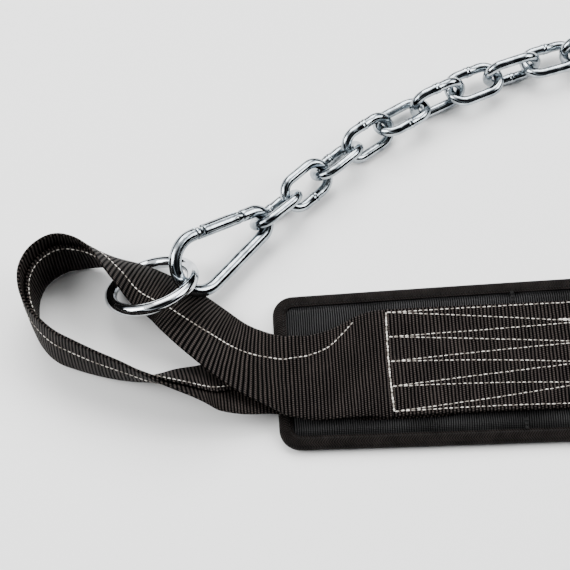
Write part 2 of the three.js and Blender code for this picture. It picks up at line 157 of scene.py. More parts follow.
def webbingMaterial():
    look = webbingLook
    material, tree, shader = startMaterial("ribbedPolyesterWebbing", {"Roughness": look["roughness"]})
    flat = addNode(tree, "ShaderNodeUVMap", {"uv_map": "cloth"})
    split = addNode(tree, "ShaderNodeSeparateXYZ", links={0: flat}).node
    along, across = split.outputs[0], split.outputs[1]
    wave = sine(tree, drifted(tree, along, noise(tree, flat, 60, 2), look["drift"]), math.pi / look["rib"])
    crown = sums(tree, "ABSOLUTE", wave)
    # Every other rib shows the warp yarns half a step along, as a plain weave does.
    parity = sums(tree, "MULTIPLY", sums(tree, "SIGN", wave), math.pi / 2)
    yarns = sums(tree, "MULTIPLY", across, 2 * math.pi / look["yarn"])
    warp = sums(tree, "SINE", sums(tree, "ADD", yarns, parity))
    rounded = sums(tree, "POWER", crown, look["rounding"])
    height = sums(tree, "ADD", rounded, sums(tree, "MULTIPLY", warp, look["warpHeight"]))
    # Streaks run across the webbing, one to a rib.
    stretch = {"Scale": (1 / look["rib"], 40, 1)}
    stretched = addNode(tree, "ShaderNodeMapping", stretch, {"Vector": flat})
    streaks = sums(tree, "MULTIPLY", noise(tree, stretched, 0.8, 3), look["streakTone"])
    # Colour by rib height: crowns painted lighter as highlight, gaps painted black as shade. Streaks and
    # wear patches add random tone.
    ridge = sums(tree, "POWER", crown, look["ridge"])
    lit = sums(tree, "MULTIPLY", ridge, sums(tree, "ADD", streaks, look["plainTone"]))
    lit = drifted(tree, lit, noise(tree, flat, 45, 5), look["wearTone"])
    # Each warp yarn on a crown is painted lighter on its top and darker at its sides, as painted highlight
    # and shade.
    yarnPaintedLight = sums(tree, "MULTIPLY", sums(tree, "MULTIPLY", warp, ridge), look["warpPaintedLight"])
    finishCloth(tree, shader, look, sums(tree, "ADD", lit, yarnPaintedLight), height)
    return material


# Ribbed nylon packcloth over foam: finer ribs than the webbing, near black, with a soft shine.
nylonLook = {
    "rib": 1.4 * mm,
    "yarn": 0.9 * mm,
    "drift": 2.5 * mm,
    "yarnHeight": 0.15,
    "plainTone": 0.3,
    "shades": [(0.4, "000000"), (0.95, "252526")],
    "roughness": 0.46,
    "shine": 0.26,
    "bump": 0.45 * mm,
}


def nylonMaterial():
    look = nylonLook
    material, tree, shader = startMaterial("ribbedNylonPackcloth", {"Roughness": look["roughness"]})
    place = addNode(tree, "ShaderNodeTexCoord").node.outputs["Object"]
    split = addNode(tree, "ShaderNodeSeparateXYZ", links={0: place}).node
    along = drifted(tree, split.outputs[0], noise(tree, place, 35, 2), look["drift"])
    crown = sums(tree, "ABSOLUTE", sine(tree, along, math.pi / look["rib"]))
    yarns = sine(tree, split.outputs[1], 2 * math.pi / look["yarn"])
    height = sums(tree, "ADD", crown, sums(tree, "MULTIPLY", yarns, look["yarnHeight"]))
    cloudy = sums(tree, "ADD", noise(tree, place, 22, 4), look["plainTone"])
    # Colour by rib height: the gaps between ribs are painted black as shade and the crowns lighter as
    # painted highlight. The cloudy noise is random tone.
    finishCloth(tree, shader, look, sums(tree, "MULTIPLY", crown, cloudy), height)
    return material


# Woven polyester binding tape: a fine herringbone, brown-black and matt.
tapeLook = {
    "twill": 1.6 * mm,
    "fold": 3 * mm,
    "slant": 0.8,
    "plainTone": 0.35,
    "shades": [(0.3, "000000"), (0.95, "1b1614")],
    "roughness": 0.68,
    "shine": 0.16,
    "bump": 0.4 * mm,
}


def tapeMaterial():
    look = tapeLook
    material, tree, shader = startMaterial("wovenBindingTape", {"Roughness": look["roughness"]})
    flat = addNode(tree, "ShaderNodeUVMap", {"uv_map": "cloth"})
    split = addNode(tree, "ShaderNodeSeparateXYZ", links={0: flat}).node
    folded = sums(tree, "PINGPONG", split.outputs[1], look["fold"])
    slant = sums(tree, "ADD", split.outputs[0], sums(tree, "MULTIPLY", folded, look["slant"]))
    lines = sums(tree, "ABSOLUTE", sine(tree, slant, math.pi / look["twill"]))
    cloudy = sums(tree, "ADD", noise(tree, flat, 120, 4), look["plainTone"])
    # The twill's grooves are painted black as shade and its raised lines lighter as painted highlight. The
    # cloudy noise is random tone.
    finishCloth(tree, shader, look, sums(tree, "MULTIPLY", lines, cloudy), lines)
    return material


# Bonded polyester thread, three-ply: off-white on the webbing, black on the binding.
threadLook = {
    "plies": {
        "Scale": 1 / (2.2 * mm) / 6.28,
        "Distortion": 1.5,
        "Detail": 1,
        "bands_direction": "DIAGONAL",
    },
    "roughness": 0.65,
    "shine": 0.25,
    "bump": 0.12 * mm,
}


def threadMaterial(name, shade, light):
    look = threadLook
    sockets = {"Roughness": look["roughness"], "Specular IOR Level": look["shine"]}
    material, tree, shader = startMaterial(name, sockets)
    place = addNode(tree, "ShaderNodeTexCoord").node.outputs["Object"]
    plies = addNode(tree, "ShaderNodeTexWave", look["plies"], {"Vector": place})
    fuzz = sums(tree, "ADD", noise(tree, place, 900, 2), 0.4)
    # The grooves between the plies are painted darker as shade and the plies' tops lighter as painted
    # highlight. The fuzz is random tone.
    colour = ramp(tree, sums(tree, "MULTIPLY", plies, fuzz), [(0.05, shade), (0.6, light)])
    tree.links.new(colour, shader.inputs["Base Color"])
    bumped(tree, shader, plies, look["bump"])
    return material


# Steel: the ring is polished and nickel-plated, nearly a mirror. Hook and chain are zinc-plated,
# a little blue and cloudy, with fine drawing lines and small dents under the plating.
steelLook = {
    "polishedNickelPlate": {
        "shades": [(0.3, "a9adb2"), (0.65, "d4d7da")],
        "smooth": 0.04,
        "rough": 0.14,
        "bump": 0.02 * mm,
    },
    "brightZincPlate": {
        "shades": [(0.3, "646b71"), (0.65, "b2b9be")],
        "smooth": 0.06,
        "rough": 0.22,
        "bump": 0.1 * mm,
    },
}


def steelMaterial(name):
    look = steelLook[name]
    material, tree, shader = startMaterial(name, {"Metallic": 1.0})
    place = addNode(tree, "ShaderNodeTexCoord").node.outputs["Object"]
    cloudy = noise(tree, place, 130, 5)
    cloudy.node.inputs["Roughness"].default_value = 0.6
    tree.links.new(ramp(tree, cloudy, look["shades"]), shader.inputs["Base Color"])
    span = {"From Min": 0.35, "From Max": 0.7, "To Min": look["smooth"], "To Max": look["rough"]}
    rough = addNode(tree, "ShaderNodeMapRange", span, {"Value": cloudy})
    tree.links.new(rough, shader.inputs["Roughness"])
    bumped(tree, shader, noise(tree, place, 420, 3), look["bump"], 0.6)
    return material


webbingFinish = webbingMaterial()
nylonFinish = nylonMaterial()
tapeFinish = tapeMaterial()
whiteThread = threadMaterial("bondedThreadWhite", "8f8880", "ece7de")
blackThread = threadMaterial("bondedThreadBlack", "000000", "060505")
nickelFinish = steelMaterial("polishedNickelPlate")
zincFinish = steelMaterial("brightZincPlate")
print("materials ready")


# Objects
def dress(piece, name, finish, slotName, *nodes):
    piece.name = name
    piece.data.name = name
    piece.data.materials.clear()
    piece.data.materials.append(finish)
    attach(piece, "gate" if "carabiner_gate" in nodes else "belt")
    if nodes:
        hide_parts(*nodes)
    return piece


def pick(piece):
    bpy.ops.object.select_all(action="DESELECT")
    piece.select_set(True)
    bpy.context.view_layer.objects.active = piece


def settle(piece, angle=40):
    pick(piece)
    bpy.ops.object.transform_apply(location=True, rotation=True, scale=True)
    bpy.ops.object.shade_smooth_by_angle(angle=math.radians(angle))


def applyModifier(piece, kind, **options):
    pick(piece)
    modifier = piece.modifiers.new(kind.title(), kind)
    for key, value in options.items():
        setattr(modifier, key, value)
    bpy.ops.object.modifier_apply(modifier=modifier.name)


# A cloth strip skinned over rings of points. flat holds each point's place on the flat cloth.
def skin(name, rings, flat, closed):
    rings = np.array(rings)
    flat = np.array(flat)
    count, width = rings.shape[:2]
    index = np.arange(count * width).reshape(count, width)
    steps = count if closed else count - 1
    corners, places = [], []
    for i in range(steps):
        j = (i + 1) % count
        for k in range(width):
            m = (k + 1) % width
            corners.append((index[i, k], index[j, k], index[j, m], index[i, m]))
            ahead = flat[j].copy()
            if j < i:
                ahead[:, 0] += flat[-1, 0, 0]
            places += [flat[i, k], ahead[k], ahead[m], flat[i, m]]
    if not closed:
        half = width // 2
        for end in (0, count - 1):
            for k in range(half - 1):
                pair = (k, k + 1, width - 2 - k, width - 1 - k)
                corners.append(tuple(index[end, p] for p in pair))
                places += [flat[end, p] for p in pair]
    mesh = bpy.data.meshes.new(name)
    mesh.from_pydata(rings.reshape(-1, 3).tolist(), [], [tuple(int(v) for v in c) for c in corners])
    cloth = mesh.uv_layers.new(name="cloth")
    cloth.data.foreach_set("uv", np.array(places)[:, :2].astype(np.float32).ravel())
    work = bmesh.new()
    work.from_mesh(mesh)
    bmesh.ops.recalc_face_normals(work, faces=work.faces)
    work.to_mesh(mesh)
    work.free()
    piece = bpy.data.objects.new(name, mesh)
    bpy.context.scene.collection.objects.link(piece)
    return piece


# Pad: foam with its cover, crowned at the edges, and pulled in where it is tacked.
padSizes = {
    "length": 600 * mm,
    "width": 111 * mm,
    "endWidth": 103 * mm,
    "thickness": 8 * mm,
    "corner": 13 * mm,
    "edge": 3.4 * mm,
    "roll": 1.0 * mm,
    "lip": 8.4 * mm,
    "crownRun": 7 * mm,
    "rollRun": 9 * mm,
    "freeFrom": 37.5 * mm,
    "freeRun": 2.5 * mm,
    "tackAt": (152 * mm, 43 * mm),
    "tackDepth": 1.9 * mm,
    "tackReach": 4.5 * mm,
    # How far in from the outline each ring lies, in mm, and below that its height too.
    "under": [(44, 0), (30, 0), (16, 0), (11, 0.25), (9, 0.9), (8.4, 2.3)]
    + [(1.6, 2.3), (1.4, 4), (1.6, 5.7)],
    "over": (8.4, 8.8, 9.4, 10.2, 11.2, 12.4, 13.8, 15.4, 17.4, 21, 26, 32, 38, 44),
}


def clamped(value):
    return min(max(value, 0), 1)


def padOutline(inset, cornerSteps=10, sideSteps=96):
    size = padSizes
    radius = max(size["corner"] - inset, 1 * mm)
    x = size["length"] / 2 - inset - radius
    y = size["endWidth"] / 2 - inset - radius
    bow = (size["width"] - size["endWidth"]) / 2
    points = []
    for turn, (cx, cy) in enumerate(((x, y), (-x, y), (-x, -y), (x, -y))):
        for step in range(cornerSteps + 1):
            angle = math.radians(turn * 90 + 90 * step / cornerSteps)
            points.append((cx + radius * math.cos(angle), cy + radius * math.sin(angle)))
        if turn % 2 == 0:
            sign = 1 - turn
            for step in range(1, sideSteps):
                share = -1 + 2 * step / sideSteps
                reach = y + radius + bow * math.cos(share * math.pi / 2)
                points.append((-sign * share * x, sign * reach))
    return np.array(points)


def padTop(x, y, inset):
    size = padSizes
    beyond = inset - size["lip"]
    rise = clamped(beyond / size["crownRun"])
    low = size["thickness"] / 2 + size["edge"] / 2
    z = low + (size["thickness"] - low) * math.sin(rise * math.pi / 2) ** 0.8
    # The foam swells only where no webbing holds it down.
    free = clamped((abs(y) - size["freeFrom"]) / size["freeRun"])
    z += size["roll"] * free * math.sin(clamped(beyond / size["rollRun"]) * math.pi)
    z += 0.22 * mm * math.sin(x / (19 * mm)) * math.sin(x / (7.3 * mm) + y / (11 * mm)) * rise
    for side in (-1, 1):
        reach = math.hypot(x - side * size["tackAt"][0], (abs(y) - size["tackAt"][1]) * 0.7)
        z -= size["tackDepth"] * math.exp(-((reach / size["tackReach"]) ** 2))
    return z


def makePad():
    rings = []
    for inset, z in padSizes["under"]:
        rings.append([(x, y, z * mm) for x, y in padOutline(inset * mm)])
    for inset in padSizes["over"]:
        rings.append([(x, y, padTop(x, y, inset * mm)) for x, y in padOutline(inset * mm)])
    rings = np.array(rings) + np.array(beltShift)
    flat = np.zeros((*rings.shape[:2], 2))
    pad = skin("padFace", rings, flat, False)
    pick(pad)
    bpy.ops.object.mode_set(mode="EDIT")
    bpy.ops.mesh.select_all(action="SELECT")
    bpy.ops.mesh.remove_doubles(threshold=1e-6)
    bpy.ops.mesh.normals_make_consistent(inside=False)
    bpy.ops.object.mode_set(mode="OBJECT")
    settle(pad, 50)
    dress(pad, "padFace", nylonFinish, "nylon", "pad_body")


makePad()
print("pad made")

# Binding: a tape folded over the pad's edge, and sewn near its inner edges.
bindingSizes = {
    "reach": 8 * mm,
    "thick": 1.1 * mm,
    "gap": 0.3 * mm,
    "seam": 1.7 * mm,
    "tape": 18 * mm,
    "puff": 0.5 * mm,
    "sink": 0.15 * mm,
}


def bindingSection():
    size = bindingSizes
    inner = padSizes["edge"] / 2 + size["gap"]
    outer = inner + size["thick"]
    line = []
    for share in np.linspace(0, 1, 11):
        # The tape swells between its edge and the fold, and is drawn in where it is sewn.
        drawn = math.exp(-((share * 6.5 - 1.5) ** 2))
        puff = size["puff"] * math.sin(share * math.pi) - size["puff"] * drawn
        line.append((size["reach"] * (1 - share) + outer * share, -outer - puff + size["sink"]))
    for share in np.linspace(0, 1, 9)[1:-1]:
        angle = -math.pi / 2 - share * math.pi
        line.append((outer + outer * math.cos(angle), outer * math.sin(angle)))
    half = [(a, -b) for a, b in reversed(line[:11])]
    outside = line + half
    back = [
        (size["thick"] + inner + inner * math.cos(a), inner * math.sin(a))
        for a in np.linspace(math.pi / 2, 3 * math.pi / 2, 7)
    ]
    inside = [(size["reach"], inner)] + back + [(size["reach"], -inner)]
    return outside + inside


def makeBinding():
    section = bindingSection()
    lines = []
    for inset, z in section:
        line = padOutline(inset)
        lines.append(np.column_stack([line, np.full(len(line), padSizes["thickness"] / 2 + z)]))
    rings = np.array(lines).transpose(1, 0, 2) + np.array(beltShift)
    outermost = rings[:, 12]
    steps = np.linalg.norm(np.roll(outermost, -1, axis=0) - outermost, axis=1)
    along = np.concatenate([[0], np.cumsum(steps)[:-1]])
    points = np.array(section)
    across = np.concatenate([[0], np.cumsum(np.linalg.norm(np.diff(points, axis=0), axis=1))])
    flat = np.zeros((*rings.shape[:2], 2))
    flat[:, :, 0] = along[:, None]
    flat[:, :, 1] = across[None, :]
    binding = skin("padBinding", rings, flat, True)
    settle(binding, 50)
    dress(binding, "padBinding", tapeFinish, "binding", "pad_binding")


makeBinding()
print("binding made")

# Webbing loops. Each row is a section along the loop: along and across place its fold line, as
# shares of the reach beyond the pad and of half the width; level says what it lies on; lift is a
# share of the width; roll, fold and curl are degrees; flap is the share that is folded over.
loopSizes = {
    "width": 71 * mm,
    "thick": 2 * mm,
    "gap": 0.7 * mm,
    "reach": 146 * mm,
    "padEnd": 300 * mm,
    "levels": (0, 9.3 * mm, 11.6 * mm),
    "square": 0.34,
    "seamFromEdge": 2.3 * mm,
    "steps": 7,
    "leastFlap": 0.013,
    "leastFold": 20,
    "roundEnd": 0.6,
    "seamShows": 1.2 * mm,
    "rows": [
        (-0.466, 0.962, 2, 0, 0, 0.014, 30, 0),
        (-0.44, 0.955, 2, 0, 0, 0.018, 40, 0),
        (-0.363, 0.85, 2, 0, 0, 0.075, 175, 0),
        (-0.288, 0.69, 2, 0.008, -1, 0.158, 180, 0),
        (-0.219, 0.55, 2, 0.022, -3, 0.225, 180, 2),
        (-0.137, 0.47, 2, 0.036, -4, 0.262, 180, 12),
        (-0.068, 0.48, 2, 0.042, -4, 0.288, 180, 14),
        (-0.02, 0.49, 2, 0.042, -2, 0.305, 180, 16),
        (0.103, 0.72, 2, 0.035, 4, 0.36, 180, 20),
        (0.212, 1.21, 0, 0.075, 13, 0.41, 180, 30),
        (0.336, 1.66, 0, 0.055, 17, 0.455, 180, 44),
        (0.404, 1.83, 0, 0.08, 18, 0.465, 180, 48),
        (0.5, 2, 0, 0.13, 22, 0.48, 180, 54),
        (0.589, 2.14, 0, 0.14, 44, 0.47, 180, 44),
        (0.685, 2.27, 0, 0.09, 70, 0.46, 180, 28),
        (0.774, 2.33, 0, 0.044, 86, 0.455, 180, 14),
        (0.87, 2.27, 0, 0.044, 95, 0.455, 180, 8),
        (0.949, 2.04, 0, 0.044, 99, 0.455, 180, 6),
        (0.99, 1.73, 0, 0.044, 100, 0.455, 180, 6),
        (1, 1.39, 0, 0.044, 98, 0.455, 180, 6),
        (0.99, 1.03, 0, 0.044, 94, 0.455, 180, 8),
        (0.952, 0.69, 0, 0.044, 90, 0.455, 180, 10),
        (0.897, 0.45, 0, 0.044, 89, 0.455, 180, 12),
        (0.822, 0.3, 0, 0.044, 91, 0.455, 180, 14),
        (0.726, 0.16, 0, 0.044, 95, 0.455, 180, 16),
        (0.623, 0.06, 0, 0.044, 101, 0.455, 180, 16),
        (0.514, 0.03, 0, 0.044, 113, 0.45, 180, 14),
        (0.411, 0.14, 0, 0.046, 131, 0.44, 180, 10),
        (0.322, 0.19, 0, 0.052, 145, 0.43, 180, 8),
        (0.247, 0.26, 0, 0.06, 156, 0.42, 180, 6),
        (0.151, 0.32, 0, 0.108, 166, 0.4, 180, 4),
        (0.021, 0.38, 1, 0.042, 177, 0.39, 180, 0),
        (-0.075, 0.41, 1, 0.04, 180, 0.345, 180, 0),
        (-0.18, 0.5, 1, 0.038, 180, 0.285, 180, 0),
        (-0.28, 0.66, 1, 0.036, 180, 0.19, 180, 0),
        (-0.363, 0.85, 1, 0.02, 180, 0.078, 175, 0),
        (-0.44, 0.955, 1, 0, 180, 0.018, 40, 0),
        (-0.7, 0.962, 1, 0, 180, 0.014, 30, 0),
    ],
}


def bend(at, length, turn):
    w, n, heading = at
    chord = length * math.sin(turn / 2) / (turn / 2) if abs(turn) > 1e-9 else length
    middle = heading + turn / 2
    return (w + chord * math.cos(middle), n + chord * math.sin(middle), heading + turn)


# The section's middle line from the wall's free edge, round the fold, to the flap's edge, and how
# far each point is across the flat cloth. The flap lies behind the wall, and lifts it where
# it lies flat.
def foldedLine(flapShare, fold, curl, lain):
    size = loopSizes
    radius = (size["thick"] + size["gap"]) / 2
    flap = flapShare * size["width"]
    wall = size["width"] - flap
    bow = math.radians(curl)
    turn = min(math.radians(fold), flap * 0.9 / radius)
    left = flap - turn * radius
    at = (0, 0, bow / 2)
    line = [(0, 0, bow / 2 + math.pi, wall)]
    for i in range(12):
        at = bend(at, wall / 12, -bow / 12)
        line.insert(0, (at[0], at[1], at[2] + math.pi, wall * (1 - (i + 1) / 12)))
    at = (0, 0, bow / 2 + math.pi)
    for i in range(8):
        at = bend(at, turn * radius / 8, turn / 8)
        line.append((*at, wall + turn * radius * (i + 1) / 8))
    for i in range(8):
        at = bend(at, left / 8, -bow * left / wall / 8)
        line.append((*at, wall + turn * radius + left * (i + 1) / 8))
    raised = radius * (1 - math.cos(turn)) * lain
    return [(w, n + raised, *rest) for w, n, *rest in line], wall, left


def beside(point, by):
    w, n, heading = point[:3]
    return (w + by * math.sin(heading), n - by * math.cos(heading))


def smoothRows(rows, steps):
    rows = np.array(rows, float)
    padded = np.vstack([2 * rows[0] - rows[1], rows, 2 * rows[-1] - rows[-2]])
    made = []
    for i in range(len(rows) - 1):
        a, b, c, d = padded[i : i + 4]
        for t in np.arange(steps) / steps:
            square = (2 * a - 5 * b + 4 * c - d) * t**2
            cube = (3 * b - a - 3 * c + d) * t**3
            made.append(0.5 * (2 * b + (c - a) * t + square + cube))
    made.append(rows[-1])
    return np.array(made)


# The loop's rings, their flat places, and the two lines that the seam follows.
def loopForm(side):
    size = loopSizes
    rows = []
    for along, across, level, lift, roll, flap, fold, curl in size["rows"]:
        x = -size["padEnd"] - along * size["reach"]
        z = size["levels"][level] + lift * size["width"]
        rows.append((x, across * size["width"] / 2, z, roll, flap, fold, curl))
    made = smoothRows(rows, size["steps"])
    rings, flat, seams = [], [], []
    half = size["thick"] / 2
    run = 0.0
    before = None
    spread = 2 * size["steps"] - 2
    for i, (x, y, z, roll, flap, fold, curl) in enumerate(made):
        here = Vector((x, y, z))
        run += (here - before).length if before is not None else 0
        before = here
        ends = made[min(i + spread, len(made) - 1)], made[max(i - spread, 0)]
        ahead = Vector((ends[0] - ends[1])[:3]).normalized()
        # By the pad the fold line runs askew over webbing that stays square to the pad.
        free = clamped((-x - size["padEnd"]) / size["reach"] / size["square"])
        straight = Vector((math.copysign(1, ahead.x), 0, ahead.z))
        ahead = straight.lerp(ahead, free * free * (3 - 2 * free)).normalized()
        out = ahead.cross(up).normalized()
        top = out.cross(ahead)
        turned = math.radians(roll)
        wide = -out * math.cos(turned) + top * math.sin(turned)
        face = top * math.cos(turned) + out * math.sin(turned)
        flap = max(flap, size["leastFlap"])
        fold = min(max(fold, size["leastFold"]), 180)
        line, wall, left = foldedLine(flap, fold, max(curl, 0), abs(math.cos(turned)))
        near = [(beside(p, -half), p[3]) for p in line]
        far = [(beside(p, half), p[3]) for p in reversed(line)]
        end, start = line[-1], line[0]
        past = size["roundEnd"] * half
        tip = (end[0] + past * math.cos(end[2]), end[1] + past * math.sin(end[2]))
        tail = (start[0] - past * math.cos(start[2]), start[1] - past * math.sin(start[2]))
        outline = near + [(tip, end[3] + past)] + far + [(tail, -past)]

        def place(w, n):
            q = here + wide * w + face * n + beltShift
            return (-side * q.x, q.y, max(q.z, beltShift.z))

        rings.append([place(*p) for p, _ in outline])
        flat.append([(run, v) for _, v in outline])
        reach = left - size["seamFromEdge"]
        if reach > size["seamShows"]:
            pair = []
            for spot in (20 + 8 * reach / left, 12 - 12 * reach / wall):
                a, b = line[int(spot)], line[int(spot) + 1]
                point = [a[k] + (b[k] - a[k]) * (spot - int(spot)) for k in range(3)]
                on, off = place(*beside(point, half)), place(*beside(point, half + 1 * mm))
                pair.append((Vector(on), (Vector(off) - Vector(on)).normalized()))
            seams.append(pair)
    return rings, flat, seams


seamLines = {}


def makeLoop(name, node, side):
    rings, flat, seams = loopForm(side)
    # The ring is an even count of points with a tip at each selvedge, so its ends close as strips.
    rings = [ring[-1:] + ring[:-1] for ring in rings]
    flat = [line[-1:] + line[:-1] for line in flat]
    loop = skin(name, rings, flat, False)
    settle(loop, 60)
    dress(loop, name, webbingFinish, "webbing", node)
    seamLines[node] = seams


makeLoop("loopLeft", "left_loop", -1)
makeLoop("loopRight", "right_loop", 1)
print("webbing loops made")

# The webbing along the pad. Its ends lie on the loops' ends and are sewn down with them.
bandSizes = {
    "half": 232.2 * mm,
    "sewn": 116.6 * mm,
    "ramp": 14 * mm,
    "step": 1.5 * mm,
    "edge": 0.6 * mm,
    "quilt": 0.25 * mm,
}


def makeBand():
    size, width = bandSizes, loopSizes["width"]
    low, high = loopSizes["levels"][1], loopSizes["levels"][2]
    rings, flat = [], []
    ways = np.arange(-size["half"], size["half"] + size["step"] / 2, size["step"])
    across = np.linspace(-width / 2, width / 2, 33)
    for x in ways:
        climb = clamped((abs(x) - size["sewn"]) / size["ramp"] + 1)
        z = low + (high - low) * climb * climb * (3 - 2 * climb)
        pulled = size["quilt"] if abs(x) > size["sewn"] else 0
        top = []
        for y in across:
            quilt = pulled * math.cos(2 * math.pi * y / (width / 4.2)) * math.sin(x / (17 * mm))
            top.append((x, y, z + 1.15 * mm + quilt))
        bottom = [(x, y, z - 1 * mm) for y in reversed(across)]
        edge = size["edge"]
        ring = [(x, -width / 2 - edge, z)] + top + [(x, width / 2 + edge, z)] + bottom
        rings.append(ring)
        spread = [-edge, *(across + width / 2), width + edge, *(across + width / 2)[::-1]]
        flat.append([(x, v) for v in spread])
    band = skin("webbingBand", np.array(rings) + np.array(beltShift), flat, False)
    settle(band, 60)
    dress(band, "webbingBand", webbingFinish, "webbing", "webbing_band")


makeBand()
print("band made")

# Thread. One stitch is modelled and copied along each seam.
threadSizes = {
    "seam": (3.1 * mm, 0.34 * mm),
    "box": (3.2 * mm, 0.33 * mm),
    "boxEnd": (2.4 * mm, 0.52 * mm),
    "bindingRow": (2.9 * mm, 0.36 * mm),
    "over": (2.4 * mm, 0.75 * mm),
    "tack": (2.6 * mm, 0.42 * mm),
}


def stitchMesh():
    bpy.ops.object.select_all(action="DESELECT")
    bpy.ops.mesh.primitive_uv_sphere_add(segments=8, ring_count=6, radius=1)
    stitch = bpy.context.active_object
    bpy.ops.object.mode_set(mode="EDIT")
    bpy.ops.mesh.select_all(action="SELECT")
    bpy.ops.transform.resize(value=(1, 1, 1.35))
    bpy.ops.object.mode_set(mode="OBJECT")
    points = np.array([v.co for v in stitch.data.vertices])
    # The ends dip into the cloth, so the stitch is a low arch along its length.
    points = points[:, [2, 0, 1]] / np.array([1.35, 1, 1])
    points[:, 2] -= 0.5 * points[:, 0] ** 2
    faces = [tuple(p.vertices) for p in stitch.data.polygons]
    bpy.data.objects.remove(stitch)
    return points, faces


stitchPoints, stitchFaces = stitchMesh()


def sewAlong(places, normals, pitch, radius, cover=0.76):
    places = [Vector(p) for p in places]
    lengths = [0.0]
    for a, b in zip(places, places[1:]):
        lengths.append(lengths[-1] + (b - a).length)
    count = max(int(lengths[-1] / pitch), 1)
    grid = np.array(places)
    tilt = np.array([list(n) for n in normals])
    found = []
    for i in range(count):
        ends = [(i + 0.5 + s * cover / 2) * lengths[-1] / count for s in (-1, 1)]
        p, q = ([float(np.interp(e, lengths, grid[:, k])) for k in range(3)] for e in ends)
        p, q = Vector(p), Vector(q)
        middle = sum(ends) / 2
        normal = Vector([float(np.interp(middle, lengths, tilt[:, k])) for k in range(3)])
        run = (q - p).normalized()
        side = normal.cross(run).normalized()
        normal = run.cross(side)
        wobble = side * random.uniform(-0.12, 0.12) * radius * 2
        size = radius * random.uniform(0.9, 1.1)
        turn = Matrix((run * (q - p).length / 2, side * size, normal * size)).transposed()
        found.append((turn, (p + q) / 2 + wobble + normal * radius * 0.25))
    return found


def makeThread(name, runs, finish, slotName):
    corners, faces = [], []
    for turn, place in runs:
        start = len(corners) * len(stitchPoints)
        corners.append(stitchPoints @ np.array(turn).T + np.array(place))
        faces += [tuple(v + start for v in face) for face in stitchFaces]
    mesh = bpy.data.meshes.new(name)
    mesh.from_pydata(np.concatenate(corners).tolist(), [], faces)
    thread = bpy.data.objects.new(name, mesh)
    bpy.context.scene.collection.objects.link(thread)
    settle(thread, 180)
    dress(thread, name, finish, slotName)


def sewSeams(node):
    runs = []
    for which in (0, 1):
        places = [pair[which][0] for pair in seamLines[node]]
        normals = [pair[which][1] for pair in seamLines[node]]
        runs += sewAlong(places, normals, *threadSizes["seam"])
    return runs


makeThread("seamThreadLeft", sewSeams("left_loop"), whiteThread, "webbing")
makeThread("seamThreadRight", sewSeams("right_loop"), whiteThread, "webbing")

# The sewn box: a double row across the webbing's end, and a zigzag of five peaks against six.
boxSizes = {
    "from": 230.8 * mm,
    "to": 111 * mm,
    "near": 33.4 * mm,
    "far": 34.2 * mm,
    "high": 12.85 * mm,
    "bow": 1.0 * mm,
}


def sewBox(side):
    size = boxSizes
    level = size["high"]
    near = [size["near"] * (1 - step / 2) for step in range(5)]
    far = [size["far"] * (1 - step / 2.5) for step in range(6)]
    corners = [(size["to"], far[0])]
    for i in range(5):
        corners += [(size["from"], near[i]), (size["to"], far[i + 1])]
    runs = []
    for (x0, y0), (x1, y1) in zip(corners, corners[1:]):
        sag = random.uniform(-1.2, 1.2) * mm
        line = []
        for share in np.linspace(0, 1, 13):
            y = y0 + (y1 - y0) * share + sag * math.sin(share * math.pi)
            line.append(Vector((side * (x0 + (x1 - x0) * share), y, level)) + beltShift)
        runs += sewAlong(line, [up] * len(line), *threadSizes["box"])
    for x in (size["from"], size["to"]):
        line = []
        for share in np.linspace(-1, 1, 17):
            bow = size["bow"] * (1 - share * share)
            line.append(Vector((side * (x + bow), share * size["near"], level)) + beltShift)
        runs += sewAlong(line, [up] * len(line), *threadSizes["boxEnd"], cover=1.05)
    over = [Vector((side * x * mm, 22.5 * mm, level)) + beltShift for x in (118, 127)]
    runs += sewAlong(over, [up, up], *threadSizes["over"], cover=1.1)
    return runs


makeThread("boxThreadLeft", sewBox(-1), whiteThread, "webbing")
makeThread("boxThreadRight", sewBox(1), whiteThread, "webbing")


def sewBinding():
    line = padOutline(bindingSizes["reach"] - bindingSizes["seam"])
    level = (padSizes["thickness"] + padSizes["edge"]) / 2 + bindingSizes["gap"] + bindingSizes["thick"]
    places = [Vector((x, y, level - 0.1 * mm)) + beltShift for x, y in line]
    places.append(places[0])
    runs = sewAlong(places, [up] * len(places), *threadSizes["bindingRow"])
    for sideX in (-1, 1):
        for sideY in (-1, 1):
            x, y = sideX * padSizes["tackAt"][0], sideY * padSizes["tackAt"][1]
            for offset in (-0.7, 0, 0.7):
                ends = ((x + offset * mm, y + k * mm, 7.6 * mm) for k in (-4, 4))
                tack = [Vector(end) + beltShift for end in ends]
                runs += sewAlong(tack, [up, up], *threadSizes["tack"], cover=1.05)
    return runs


makeThread("bindingThread", sewBinding(), blackThread, "binding")
print("sewing done")

# Rings: round bar bent and butt-welded, so a faint bead stands up at the joint.
ringSizes = {"wire": 7.5 * mm, "bore": 45 * mm, "weldAt": 205, "bead": 0.05, "beadWidth": 1.1 * mm}


# A node's own middle and axes, longest first.
def nodeAxes(node):
    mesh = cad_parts[node].data
    points = np.array([v.co for v in mesh.vertices])
    low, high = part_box(node)
    spread = np.cov((points - points.mean(0)).T)
    values, axes = np.linalg.eigh(spread)
    longest, wide = Vector(axes[:, 2]), Vector(axes[:, 1])
    if longest.x < 0:
        longest = -longest
    if wide.y < 0:
        wide = -wide
    normal = longest.cross(wide)
    turn = Matrix((longest, wide, normal)).transposed().to_4x4()
    return Matrix.Translation((low + high) / 2) @ turn


